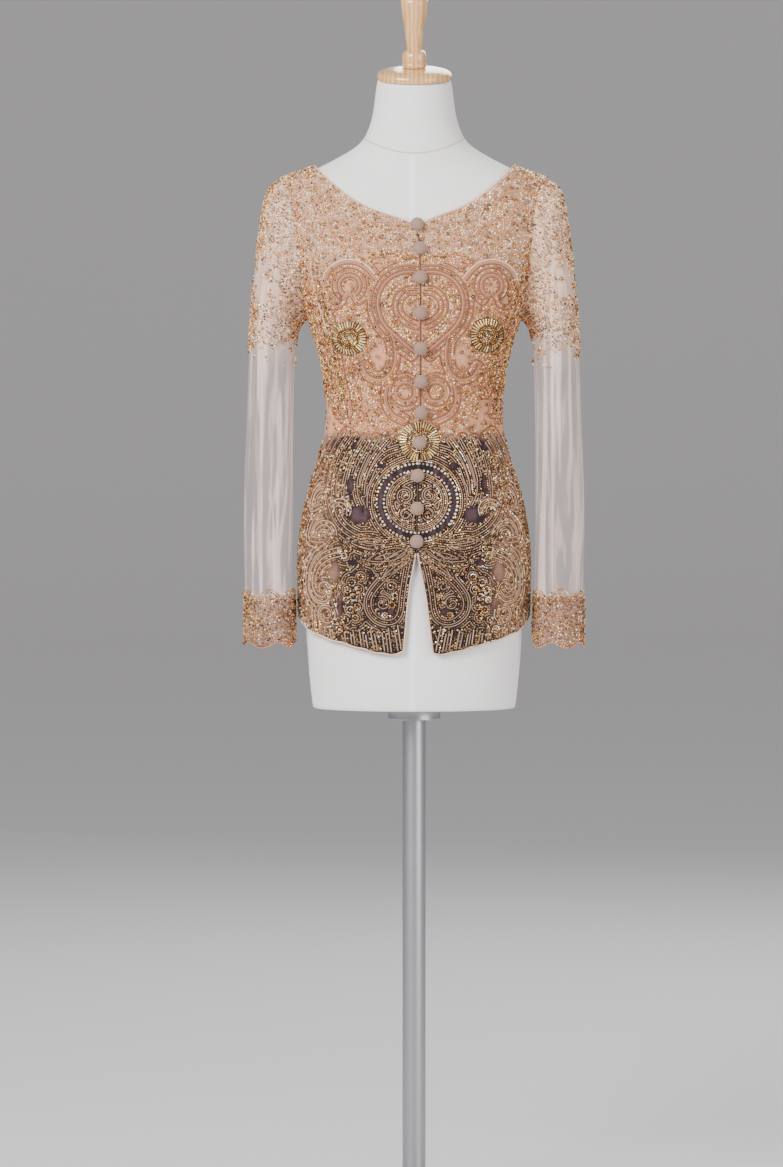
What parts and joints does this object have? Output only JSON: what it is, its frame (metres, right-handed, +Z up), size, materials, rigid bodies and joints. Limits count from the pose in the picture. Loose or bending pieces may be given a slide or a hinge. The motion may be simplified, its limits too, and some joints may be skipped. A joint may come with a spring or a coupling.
{
  "type": "kebaya blouse on dress form",
  "caption": "Blush net kebaya blouse with long sheer sleeves, gold beadwork and a scalloped peplum, buttoned on a linen dress form with a wooden neck cap.",
  "frame": {"origin": "on the floor, under the middle of the stand's pole", "axes": "+Z up the form, -Y the way the wearer faces, +X the wearer's left"},
  "size_m": [0.467, 0.37, 1.6614],
  "materials": {
    "embroidered_net": "sheer blush net, thickly worked with champagne cord and gold beads",
    "sleeve_net": "plain sheer net with a soft sheen",
    "blush_lining": "matte satin",
    "beads": "gold and pearl glass beads",
    "covered_button": "dusty rose cloth over a ball",
    "linen": "off-white linen over padding",
    "wood": "glossy varnish",
    "stand_metal": "satin grey"
  },
  "bodies": {
    "root": {"back": "embroidered_net", "button_01": "covered_button", "button_02": "covered_button", "button_03": "covered_button", "button_04": "covered_button", "button_05": "covered_button", "button_06": "covered_button", "button_07": "covered_button", "button_08": "covered_button", "button_09": "covered_button", "button_10": "covered_button", "button_11": "covered_button", "form_torso": "linen", "front_left": "embroidered_net", "front_right": "embroidered_net", "lining_back": "blush_lining", "lining_front_left": "blush_lining", "lining_front_right": "blush_lining", "neck_cap": "wood", "neck_handle": "wood", "rosette_bust_left": "beads", "rosette_bust_right": "beads", "rosette_waist_left": "beads", "rosette_waist_right": "beads", "sleeve_left": "sleeve_net", "sleeve_right": "sleeve_net", "stand_base": "stand_metal", "stand_collar": "stand_metal", "stand_pole": "stand_metal"}
  },
  "joints": []
}
